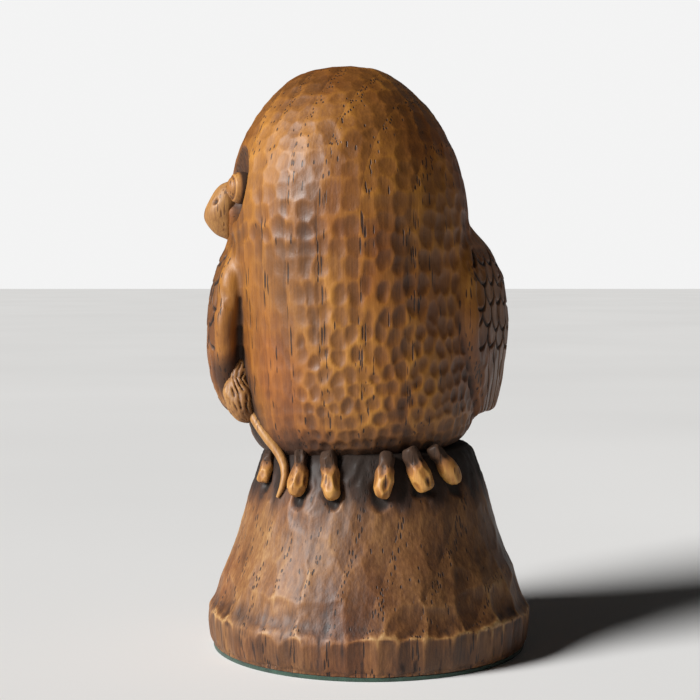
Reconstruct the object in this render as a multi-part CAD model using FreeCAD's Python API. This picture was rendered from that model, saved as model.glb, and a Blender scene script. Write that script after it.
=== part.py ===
import FreeCAD
import Part
import math
import os

# Carved wooden owl on a stump, glued up from separately carved pieces.
# Millimetres. +Z is up, the felt's underside is at z = 0 and the origin is the
# centre of the stump's plan. The belly faces -Y. The head is turned a quarter
# turn to the owl's own right, so the face and the beak point along -X.
# Left and right in the names are the owl's own: its right side is at -X.

# ---- driving dimensions ----
FELT_THICKNESS = 1.0
FELT_MARGIN = 0.6               # how far the felt stays inside the stump's foot
STUMP_TOP = 52.5                # where the body sits on the stump

# The stump's outline, bottom to top: height, radius.
STUMP_OUTLINE = [
    (FELT_THICKNESS, 41.2),
    (5.0, 42.3),
    (8.0, 42.5),
    (11.5, 41.8),
    (14.5, 40.8),
    (20.0, 38.6),
    (24.0, 36.6),
    (28.0, 34.9),
    (33.0, 33.3),
    (40.0, 31.4),
    (47.0, 29.0),
    (STUMP_TOP, 26.4),
]

# Body and head in one block: distance along its own leaning axis from the stump's top, radius.
BODY_LEAN = 4.0                 # degrees the axis leans towards -X
BODY_FOOT_X = -1.3              # where the axis leaves the stump's top
BODY_TRIM = 12.0                # deep enough to trim the foot level on the stump
BODY_OUTLINE = [
    (-3.0, 21.0),
    (-1.0, 24.4),
    (1.5, 27.2),
    (6.0, 29.4),
    (13.0, 30.5),
    (27.0, 31.0),
    (41.0, 31.2),
    (53.0, 31.2),
    (63.0, 30.8),
    (71.0, 29.3),
    (78.0, 26.8),
    (84.0, 23.4),
    (89.0, 19.3),
    (93.0, 15.0),
    (96.0, 9.4),
    (97.6, 0.0),
]

# The face: a hollow either side of the bridge, with an eye in each.
FACE_HEIGHT = 118.2
EYE_SIDE_OFFSET = 9.8           # Y, from the middle of the face
FACE_SURFACE_X = -35.3          # the head's surface at that offset
EYE_SPLAY = 20.0                # degrees each eye turns away from straight ahead
HOLLOW_RADIUS = 8.4             # level radius of the egg that cuts the hollow
HOLLOW_HALF_HEIGHT = 11.4
HOLLOW_DEPTH = 4.9
EYE_RADIUS = 4.1
EYE_SINK = 3.2                  # eye centre below the head's surface

# The beak: a teardrop about the line from its tip to its root, as (share of the length, radius).
BEAK_TIP = (-35.8, 0.0, 104.4)
BEAK_ROOT = (-38.0, 0.0, 120.6)
BEAK_OUTLINE = [(0.0, 0.0), (0.1, 1.9), (0.25, 3.5), (0.42, 4.6), (0.6, 5.0), (0.78, 4.4), (0.92, 2.6), (1.0, 0.0)]

# The wings, top to bottom: height, centre X, centre Y, half thickness, half chord.
LEFT_WING_TURN = -20.0          # degrees, wraps the front edge onto the belly
LEFT_WING_RINGS = [
    (107.0, 23.8, 1.0, 3.4, 9.0),
    (100.0, 26.2, 1.0, 5.7, 15.0),
    (82.0, 28.2, 1.5, 6.1, 17.0),
    (68.0, 28.0, 3.0, 5.4, 13.0),
    (59.5, 28.8, 4.0, 3.2, 9.0),
]
RIGHT_WING_TURN = 5.0
RIGHT_WING_RINGS = [
    (106.0, -32.6, 0.5, 3.0, 8.0),
    (98.0, -35.1, 1.0, 4.8, 14.5),
    (82.0, -37.3, 1.5, 4.9, 16.5),
    (68.0, -36.3, 3.0, 4.6, 14.0),
    (60.0, -33.6, 4.5, 2.8, 7.0),
]
WING_SEAT_TOP = 104.0           # the wing blanks butt up under a shoulder here
WING_SEAT_BOTTOM = 58.0
LEFT_SEAT_X = 22.5              # flat seat of the left wing blank
RIGHT_SEAT_X = -30.5            # flat seat of the right wing blank
SEAT_REACH = 80.0               # how far the seat cutters reach outwards

# The mouse tucked under the right wing: two eggs, each lower end, upper end, radius.
MOUSE_EGGS = [
    ((-30.6, -11.6, 58.8), (-34.9, -9.6, 71.2), 4.0),
    ((-34.4, -10.4, 66.0), (-32.4, -8.6, 75.4), 2.9),
]

# The mouse's tail: point on its line, radius there.
TAIL_STATIONS = [
    ((-30.6, -11.0, 63.0), 1.1),
    ((-29.6, -11.9, 61.2), 1.25),
    ((-28.2, -13.7, 59.0), 1.35),
    ((-25.7, -16.0, 55.6), 1.3),
    ((-23.2, -17.6, 52.6), 1.25),
    ((-21.5, -19.2, 49.6), 1.15),
    ((-21.1, -20.6, 46.8), 0.95),
    ((-21.7, -21.3, 43.9), 0.75),
    ((-22.9, -21.3, 41.2), 0.45),
]

# The toes: name, bottom of the toe's line, top of it, girth.
TOES = [
    ("right_foot_outer_toe", (-26.9, -14.8, 43.4), (-24.9, -11.9, 52.4), 0.90),
    ("right_foot_middle_toe", (-18.4, -25.9, 41.6), (-16.6, -21.6, 53.6), 1.05),
    ("right_foot_inner_toe", (-9.2, -30.3, 41.8), (-10.4, -25.4, 53.8), 1.05),
    ("left_foot_inner_toe", (2.8, -31.5, 42.2), (4.2, -27.0, 53.8), 1.10),
    ("left_foot_middle_toe", (14.1, -27.9, 43.4), (9.0, -26.1, 54.6), 1.15),
    ("left_foot_outer_toe", (22.0, -21.7, 44.4), (15.0, -22.9, 54.8), 1.05),
]
# One toe's outline, bottom to top: share of its length, radius.
TOE_OUTLINE = [(0.0, 0.0), (0.05, 1.15), (0.2, 2.1), (0.42, 2.05), (0.66, 1.6), (0.88, 1.3), (0.97, 0.8), (1.0, 0.0)]

# Hidden pegs.
BODY_PEG_RADIUS = 4.0
BODY_PEG_XS = (-10.0, 8.0)
BODY_PEG_BOTTOM = 36.0
BODY_PEG_TOP = 72.0
WING_PEG_RADIUS = 1.5
WING_PEG_HALF_LENGTH = 5.0
WING_PEG_HEIGHTS = (76.0, 92.0)
WING_PEG_Y = 2.0

ORIGIN = FreeCAD.Vector(0, 0, 0)
ALONG_X = FreeCAD.Vector(1, 0, 0)
UP = FreeCAD.Vector(0, 0, 1)


# ---- shapes the pieces are made from ----
def turned(outline):
    """A solid turned about Z from (height, radius) points, closed level at both ends."""
    points = [FreeCAD.Vector(radius, 0, height) for height, radius in outline]
    foot = FreeCAD.Vector(0, 0, points[0].z)
    head = FreeCAD.Vector(0, 0, points[-1].z)
    curve = Part.BSplineCurve()
    curve.interpolate(points)
    edges = [curve.toShape()]
    if points[-1].x > 0:
        edges.append(Part.makeLine(points[-1], head))
    edges.append(Part.makeLine(head, foot))
    if points[0].x > 0:
        edges.append(Part.makeLine(foot, points[0]))
    return Part.Face(Part.Wire(edges)).revolve(ORIGIN, UP, 360)


def spindle(foot, head, outline):
    """A turned shape between two points, its outline given as (share of the length, radius)."""
    start = FreeCAD.Vector(*foot)
    line = FreeCAD.Vector(*head) - start
    shape = turned([(share * line.Length, radius) for share, radius in outline])
    shape.Placement = FreeCAD.Placement(start, FreeCAD.Rotation(UP, line))
    return shape


def egg(foot, head, radius):
    """An ellipsoid with its long axis between two points."""
    start = FreeCAD.Vector(*foot)
    line = FreeCAD.Vector(*head) - start
    ellipse = Part.Ellipse(ORIGIN, line.Length / 2, radius)
    arc = Part.ArcOfEllipse(ellipse, 0, math.pi).toShape()
    axis = Part.makeLine(arc.Vertexes[-1].Point, arc.Vertexes[0].Point)
    shape = Part.Face(Part.Wire([arc, axis])).revolve(ORIGIN, ALONG_X, 360)
    shape.Placement = FreeCAD.Placement(start + line * 0.5, FreeCAD.Rotation(ALONG_X, line))
    return shape


def oval(centre, half_x, half_y, turn):
    """A level oval wire. Every oval starts at its own +X end, so a loft through them doesn't twist."""
    stretch = FreeCAD.Matrix()
    stretch.scale(half_x, half_y, 1.0)
    wire = Part.Wire(Part.Circle(ORIGIN, UP, 1.0).toShape()).transformGeometry(stretch)
    wire.rotate(ORIGIN, UP, turn)
    wire.translate(FreeCAD.Vector(*centre))
    return wire


def largest_solid(shape):
    return max(shape.Solids, key=lambda solid: solid.Volume)


# ---- the pieces ----
def make_felt():
    radius = STUMP_OUTLINE[0][1] - FELT_MARGIN
    return Part.makeCylinder(radius, FELT_THICKNESS)


def make_body_block():
    lean = math.radians(BODY_LEAN)
    block = turned(BODY_OUTLINE)
    axis = FreeCAD.Vector(-math.sin(lean), 0, math.cos(lean))
    foot = FreeCAD.Vector(BODY_FOOT_X, 0, STUMP_TOP)
    block.Placement = FreeCAD.Placement(foot, FreeCAD.Rotation(UP, axis))
    trim = Part.makeBox(SEAT_REACH, SEAT_REACH, BODY_TRIM)
    trim.translate(FreeCAD.Vector(-SEAT_REACH / 2, -SEAT_REACH / 2, STUMP_TOP - BODY_TRIM))
    return block.cut(trim)


def make_wing_plate(rings, turn):
    ovals = [oval((cx, cy, z), thick, chord, turn) for z, cx, cy, thick, chord in rings]
    return Part.makeLoft(ovals, True, False)


def seat_space(seat_x, side):
    """The space outside a wing's flat seat, from its foot to its shoulder. side is 1 at +X."""
    low_x = seat_x if side > 0 else seat_x - SEAT_REACH
    corner = FreeCAD.Vector(low_x, -SEAT_REACH, WING_SEAT_BOTTOM)
    return Part.makeBox(SEAT_REACH, 2 * SEAT_REACH, WING_SEAT_TOP - WING_SEAT_BOTTOM, corner)


def eye_frame(side):
    """Surface point and outward direction of one eye. side is 1 for the owl's right eye, at +Y."""
    angle = math.radians(EYE_SPLAY)
    outward = FreeCAD.Vector(-math.cos(angle), side * math.sin(angle), 0)
    return FreeCAD.Vector(FACE_SURFACE_X, side * EYE_SIDE_OFFSET, FACE_HEIGHT), outward


def make_eye(side):
    surface, outward = eye_frame(side)
    return Part.makeSphere(EYE_RADIUS, surface - outward * EYE_SINK)


def make_eye_hollow(side):
    surface, outward = eye_frame(side)
    centre = surface + outward * (HOLLOW_RADIUS - HOLLOW_DEPTH)
    return egg(centre - UP * HOLLOW_HALF_HEIGHT, centre + UP * HOLLOW_HALF_HEIGHT, HOLLOW_RADIUS)


def make_mouse():
    rump, back = [egg(*dimensions) for dimensions in MOUSE_EGGS]
    return rump.fuse(back)


def make_tail():
    points = [FreeCAD.Vector(*point) for point, _ in TAIL_STATIONS]
    rounds = []
    for index, (_, radius) in enumerate(TAIL_STATIONS):
        before = points[max(index - 1, 0)]
        after = points[min(index + 1, len(points) - 1)]
        rounds.append(Part.Wire(Part.Circle(points[index], after - before, radius).toShape()))
    return Part.makeLoft(rounds, True, False)


def make_body_pegs():
    length = BODY_PEG_TOP - BODY_PEG_BOTTOM
    return [
        Part.makeCylinder(BODY_PEG_RADIUS, length, FreeCAD.Vector(x, 0, BODY_PEG_BOTTOM), UP)
        for x in BODY_PEG_XS
    ]


def make_wing_pegs(seat_x):
    length = 2 * WING_PEG_HALF_LENGTH
    start_x = seat_x - WING_PEG_HALF_LENGTH
    return [
        Part.makeCylinder(WING_PEG_RADIUS, length, FreeCAD.Vector(start_x, WING_PEG_Y, z), ALONG_X)
        for z in WING_PEG_HEIGHTS
    ]


def carve():
    """Every piece, cut so that neighbours meet face to face."""
    block = make_body_block()
    block = block.fuse(make_wing_plate(LEFT_WING_RINGS, LEFT_WING_TURN))
    block = block.fuse(make_wing_plate(RIGHT_WING_RINGS, RIGHT_WING_TURN))
    left_space = seat_space(LEFT_SEAT_X, 1)
    right_space = seat_space(RIGHT_SEAT_X, -1)

    right_eye = make_eye(1)
    left_eye = make_eye(-1)
    toes = {name: spindle(bottom, top, [(share, radius * girth) for share, radius in TOE_OUTLINE])
            for name, bottom, top, girth in TOES}
    body_pegs = make_body_pegs()
    left_pegs = make_wing_pegs(LEFT_SEAT_X)
    right_pegs = make_wing_pegs(RIGHT_SEAT_X)

    left_wing = largest_solid(block.common(left_space).cut(left_pegs))
    right_wing = largest_solid(block.common(right_space).cut(right_pegs))
    body = block.cut([left_space, right_space, make_eye_hollow(1), make_eye_hollow(-1)])
    body = body.cut([right_eye, left_eye, *toes.values(), *body_pegs, *left_pegs, *right_pegs])
    body = largest_solid(body)
    beak = spindle(BEAK_TIP, BEAK_ROOT, BEAK_OUTLINE)
    beak = largest_solid(beak.cut([right_eye, left_eye]))
    body = largest_solid(body.cut(beak))
    stump = turned(STUMP_OUTLINE).cut([*toes.values(), *body_pegs])

    tail = make_tail()
    mouse = largest_solid(make_mouse().cut([body, right_wing, tail]))
    tail = largest_solid(tail.cut([body, right_wing, stump, *toes.values()]))

    pieces = {
        "felt_pad": make_felt(),
        "stump": stump,
        "owl_body": body,
        "left_wing": left_wing,
        "right_wing": right_wing,
        "left_eye": left_eye,
        "right_eye": right_eye,
        "beak": beak,
        "mouse_body": mouse,
        "mouse_tail": tail,
        "body_pegs": Part.makeCompound(body_pegs),
        "left_wing_pegs": Part.makeCompound(left_pegs),
        "right_wing_pegs": Part.makeCompound(right_pegs),
    }
    pieces.update(toes)
    return pieces


def main():
    os.makedirs("parts", exist_ok=True)
    for name, shape in carve().items():
        shape.exportStep(os.path.join("parts", name + ".step"))
        print(name, "valid" if shape.isValid() else "NOT VALID", "solids", len(shape.Solids),
              "volume", round(shape.Volume, 1))


main()
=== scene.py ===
import math
import random

import bmesh
import bpy
import numpy as np
from mathutils import Matrix, Vector, noise
from mathutils.bvhtree import BVHTree
from mathutils.kdtree import KDTree


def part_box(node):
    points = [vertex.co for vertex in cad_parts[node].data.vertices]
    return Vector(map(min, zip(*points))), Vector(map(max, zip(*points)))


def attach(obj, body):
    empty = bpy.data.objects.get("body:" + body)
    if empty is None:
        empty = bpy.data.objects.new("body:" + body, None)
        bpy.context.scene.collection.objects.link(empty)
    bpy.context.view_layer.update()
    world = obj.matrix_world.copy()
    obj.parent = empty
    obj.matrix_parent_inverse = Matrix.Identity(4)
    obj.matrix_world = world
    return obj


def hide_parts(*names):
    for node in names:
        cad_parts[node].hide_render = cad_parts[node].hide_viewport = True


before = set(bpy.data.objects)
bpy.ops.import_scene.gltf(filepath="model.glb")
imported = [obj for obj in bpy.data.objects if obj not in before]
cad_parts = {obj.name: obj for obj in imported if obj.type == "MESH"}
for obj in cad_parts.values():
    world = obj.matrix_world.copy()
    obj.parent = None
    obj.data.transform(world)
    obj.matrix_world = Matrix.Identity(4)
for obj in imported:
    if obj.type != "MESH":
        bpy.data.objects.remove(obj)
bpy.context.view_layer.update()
mm = 0.001
noise.seed_set(5)    # unseeded, noise_vector changes with the clock


def hexColour(code):
    # sRGB hex to linear
    parts = [int(code[at:at + 2], 16) / 255 for at in (1, 3, 5)]
    return [p / 12.92 if p <= 0.04045 else ((p + 0.055) / 1.055) ** 2.4 for p in parts] + [1.0]


def smoothLine(stations, perSpan):
    # a rounded line through stations of any number of values each
    ends = [stations[0], *stations, stations[-1]]
    line = []
    for a, b, c, d in (map(np.array, span) for span in zip(ends, ends[1:], ends[2:], ends[3:])):
        for t in np.arange(perSpan) / perSpan:
            bend = (2 * a - 5 * b + 4 * c - d) * t * t + (3 * b - a - 3 * c + d) * t ** 3
            line.append(tuple(map(float, 0.5 * (2 * b + (c - a) * t + bend))))
    return line + [tuple(stations[-1])]


def turnedShape(profile, steps):
    # (radius, height) points spun about Z, closed at both ends
    bm = bmesh.new()
    verts = [bm.verts.new((radius, 0, height)) for radius, height in profile]
    edges = [bm.edges.new(pair) for pair in zip(verts, verts[1:])]
    bmesh.ops.spin(bm, geom=verts + edges, cent=(0, 0, 0), axis=(0, 0, 1), angle=2 * math.pi,
                   steps=steps, use_merge=True, use_duplicate=False)
    bmesh.ops.remove_doubles(bm, verts=bm.verts, dist=1e-6)
    bmesh.ops.recalc_face_normals(bm, faces=bm.faces)
    return bm


def hoopedShape(hoops, segments, square=1.0):
    # unit circles laid by each matrix, bridged in turn and closed at both ends
    # square below 1 fills out the circles' corners
    bm = bmesh.new()
    rings = []
    for hoop in hoops:
        made = bmesh.ops.create_circle(bm, cap_ends=False, radius=1.0, segments=segments)
        for vert in made["verts"]:
            x, y, _ = vert.co
            corner = (math.copysign(abs(x) ** square, x), math.copysign(abs(y) ** square, y), 0)
            vert.co = hoop @ Vector(corner)
        rings.append({edge for vert in made["verts"] for edge in vert.link_edges})
    for lower, upper in zip(rings, rings[1:]):
        bmesh.ops.bridge_loops(bm, edges=list(lower | upper))
    for ring in (rings[0], rings[-1]):
        bmesh.ops.edgeloop_fill(bm, edges=list(ring))
    bmesh.ops.recalc_face_normals(bm, faces=bm.faces)
    return bm


def ballShape(centre, radii, turn=None, segments=48):
    bm = bmesh.new()
    matrix = Matrix.Translation(centre) @ (turn or Matrix()) @ Matrix.Diagonal((*radii, 1))
    bmesh.ops.create_uvsphere(
        bm, u_segments=segments, v_segments=segments * 2 // 3, radius=1.0, matrix=matrix)
    return bm


def makePiece(name, *shapes):
    # every shape's mesh together in one new object
    mesh = bpy.data.meshes.new(name)
    whole = bmesh.new()
    for shape in shapes:
        shape.to_mesh(mesh)
        whole.from_mesh(mesh)
        shape.free()
    whole.to_mesh(mesh)
    whole.free()
    piece = bpy.data.objects.new(name, mesh)
    bpy.context.scene.collection.objects.link(piece)
    return piece


def bake(piece, kind, **settings):
    # adds one modifier and keeps its result as the piece's mesh
    modifier = piece.modifiers.new(kind.lower(), kind)
    for key, value in settings.items():
        setattr(modifier, key, value)
    result = bpy.data.meshes.new_from_object(piece.evaluated_get(bpy.context.evaluated_depsgraph_get()))
    piece.modifiers.clear()
    piece.data = result


def copyPiece(piece, name):
    copied = bpy.data.objects.new(name, piece.data.copy())
    bpy.context.scene.collection.objects.link(copied)
    return copied


def boxCutter(low, high):
    bm = bmesh.new()
    matrix = Matrix.Translation((low + high) / 2) @ Matrix.Diagonal((*(high - low), 1))
    bmesh.ops.create_cube(bm, size=1.0, matrix=matrix)
    return makePiece("cutter", bm)


def smooth01(low, high, value):
    # 0 up to low, 1 from high on, and eased between; low may be the larger one
    t = np.clip((value - low) / (high - low), 0, 1)
    return t * t * (3 - 2 * t)


def noiseAt(points, scale):
    # one noise value for each point, its coordinates first multiplied by scale
    return np.array([noise.noise(Vector(point)) for point in points * np.array(scale)])


class Skin:
    # the points and normals of a piece's mesh as arrays, to carve and to write back

    def __init__(self, piece):
        self.mesh = piece.data
        count = len(self.mesh.vertices)
        self.points = np.empty(count * 3)
        self.normals = np.empty(count * 3)
        self.mesh.vertices.foreach_get("co", self.points)
        self.mesh.vertex_normals.foreach_get("vector", self.normals)
        self.points = self.points.reshape(-1, 3) / mm
        self.normals = self.normals.reshape(-1, 3)
        self.edges = np.empty(len(self.mesh.edges) * 2, dtype=np.int64)
        self.mesh.edges.foreach_get("vertices", self.edges)
        self.edges = self.edges.reshape(-1, 2)

    def averaged(self, values, times, share=0.5):
        # each point's values moved towards its neighbours' average; share may differ between points
        count = len(self.points)
        links = np.bincount(self.edges.ravel(), minlength=count)
        values = values.reshape(count, -1).copy()
        for _ in range(times):
            total = np.stack([
                np.bincount(self.edges[:, 0], column[self.edges[:, 1]], count)
                + np.bincount(self.edges[:, 1], column[self.edges[:, 0]], count)
                for column in values.T], axis=1)
            values += (total / links[:, None] - values) * share
        return values

    def dip(self, times):
        # how far each point lies in a hollow, in millimetres; negative on a ridge
        return ((self.averaged(self.points, times) - self.points) * self.normals).sum(1)

    def press(self, depth):
        self.points += self.normals * np.reshape(depth, (-1, 1))

    def writePoints(self):
        self.mesh.vertices.foreach_set("co", (self.points * mm).ravel())
        self.mesh.update()

    def writeTones(self, wearAndLight, stainAndShade, add=False):
        # how much lighter each point is, from stain rubbed off its ridges and painted highlight, less where
        # shade is painted, and how much darker, from pooled stain and painted shade; the wood's colour
        # follows both
        for name, values in (("wearAndLight", wearAndLight), ("stainAndShade", stainAndShade)):
            layer = self.mesh.attributes.get(name) or self.mesh.attributes.new(name, "FLOAT", "POINT")
            held = np.zeros(len(self.points), dtype=np.float32)
            if add:
                layer.data.foreach_get("value", held)
            layer.data.foreach_set("value", (held + values).astype(np.float32))


def carveScoops(points, scoops, waver=0.0):
    # each scoop is (centre, side, up, half width, half height, depth); where scoops meet, a ridge is left
    # waver bends the scoops' outlines, in millimetres
    if waver:
        points = points + waver * np.array([noise.noise_vector(Vector(point) * 0.3) for point in points])
    tree = KDTree(len(points))
    for index, point in enumerate(points):
        tree.insert(point, index)
    tree.balance()
    cut = np.zeros(len(points))
    for centre, side, up, halfWidth, halfHeight, depth in scoops:
        near = [index for _, index, _ in tree.find_range(centre, max(halfWidth, halfHeight))]
        if near:
            away = points[near] - np.array(centre)
            share = (away @ np.array(side) / halfWidth) ** 2 + (away @ np.array(up) / halfHeight) ** 2
            cut[near] = np.minimum(cut[near], depth * (share - 1))
    return cut


def layScoop(dice, cuts, place, normal, width, height, depth, up=Vector((0, 0, 1)), level=None):
    # one scoop, as unevenly turned, sized and sunk as cuts says; level is its side on a level top
    side = normal.cross(up)
    if side.length < 0.05:
        side = level or Vector((place[1], -place[0], 0))
    side.normalize()
    turn = Matrix.Rotation(dice.uniform(-cuts["turn"], cuts["turn"]) if "turn" in cuts else 0, 3, normal)
    size, stretch = (dice.uniform(*cuts[name]) if name in cuts else 1.0 for name in ("size", "stretch"))
    return (place, turn @ side, turn @ side.cross(normal), width * size, height * size * stretch,
            depth * dice.uniform(*cuts["deep"]))


def addNode(tree, kind, inputs=None, **settings):
    # inputs are constants, or the sockets they are linked from
    node = tree.nodes.new(kind)
    stops = settings.pop("stops", None)
    for key, value in settings.items():
        setattr(node, key, value)
    if stops:
        ramp = node.color_ramp
        while len(ramp.elements) < len(stops):
            ramp.elements.new(1.0)
        for element, (place, colour) in zip(ramp.elements, stops):
            element.position = place
            element.color = hexColour(colour) if isinstance(colour, str) else (colour, colour, colour, 1)
    for key, value in (inputs or {}).items():
        # a name can stand on several sockets, of which only one is in use
        socket = node.inputs[key] if isinstance(key, int) else next(
            each for each in node.inputs if each.name == key and each.enabled)
        if isinstance(value, bpy.types.NodeSocket):
            tree.links.new(value, socket)
        else:
            socket.default_value = value
    return node


# Stained and varnished open-grained hardwood, cut with gouges: warm brown, with long dark pores
# in bands along the trunk, stain gathered in the cuts and rubbed off their ridges, and painted
# shade in creases, hollows and under parts and painted highlights on edges laid into the colour.
# The bare wood is a plain pale dowel, never stained.
woodLook = {
    "bodyWood": {
        "shades": ("#1b120a", "#402612", "#774a1d", "#9a6524", "#b67f35", "#cf9f58"),
        "middle": 0.53, "mottle": 0.34, "streaks": 0.13, "rings": 0.1, "wearAndLightShare": 0.15, "stainAndShade": 0.85,
        "pores": 0.72, "roughness": (0.44, 0.62), "redder": 0.5, "chatter": 0.9,
    },
    "stumpWood": {
        "shades": ("#18110b", "#362216", "#624023", "#825a33", "#a07a4b", "#c0a072"),
        "middle": 0.5, "mottle": 0.38, "streaks": 0.22, "rings": 0.12, "wearAndLightShare": 0.4, "stainAndShade": 0.95,
        "pores": 0.72, "roughness": (0.5, 0.66), "redder": 0.5, "chatter": 1.4,
    },
    "toeWood": {
        "shades": ("#1f140c", "#482d17", "#80532a", "#a06d34", "#ba8a48", "#d2ab72"),
        "middle": 0.55, "mottle": 0.35, "streaks": 0.22, "rings": 0.05, "wearAndLightShare": 0.45, "stainAndShade": 0.8,
        "pores": 0.5, "roughness": (0.46, 0.64), "redder": 0.1, "chatter": 0.9,
    },
    "detailWood": {
        "shades": ("#1f140d", "#4a301b", "#80562e", "#a0733e", "#bb8c50", "#d3ac74"),
        "middle": 0.6, "mottle": 0.3, "streaks": 0.22, "rings": 0.05, "wearAndLightShare": 0.5, "stainAndShade": 0.8,
        "pores": 0.4, "roughness": (0.46, 0.64), "redder": 0.1, "chatter": 0.9,
    },
    "bareWood": {
        "shades": ("#6d5232", "#99794c", "#bc9b67", "#ceaf7c", "#dcc193", "#e8d4ae"),
        "middle": 0.6, "mottle": 0.2, "streaks": 0.2, "rings": 0.05, "wearAndLightShare": 0.0, "stainAndShade": 0.0,
        "pores": 0.3, "roughness": (0.6, 0.75), "redder": 0.0, "chatter": 0.2,
    },
}
# sizes in millimetres, as the width across the grain and the length along it
woodGrain = {
    "shadePlaces": (0.0, 0.22, 0.45, 0.62, 0.8, 1.0),
    "pith": (-64.0, 24.0), "ringSpacing": 7.5, "ringWaver": 1.6,
    "poreSpace": (0.72, 9.0),                       # the space each pore has
    "poreEdge": (0.36, 0.24),                       # the share of that space that the pore fills
    "poreBand": [(0.0, 1.0), (0.15, 1.0), (0.24, 0.12), (1.0, 0.04)],   # share of them open through a ring
    "poreShare": 0.95,
    "fibre": (0.55, 16.0), "mottle": (17.0, 30.6), "chatter": (1.1, 1.6), "redPatch": (26.0, 34.0),
    "redFrom": 0.45, "redTo": 0.68, "redTint": "#c98a62",
    "dullerStainAndShade": 1.1, "dullest": 0.2,             # rougher where stain pooled and where shade is painted
    "fibreRelief": 0.35, "reliefStrength": 0.55, "reliefDepth": 0.2,
    "varnish": {"IOR": 1.5, "Specular IOR Level": 0.38, "Coat Weight": 0.12, "Coat Roughness": 0.36},
}


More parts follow.
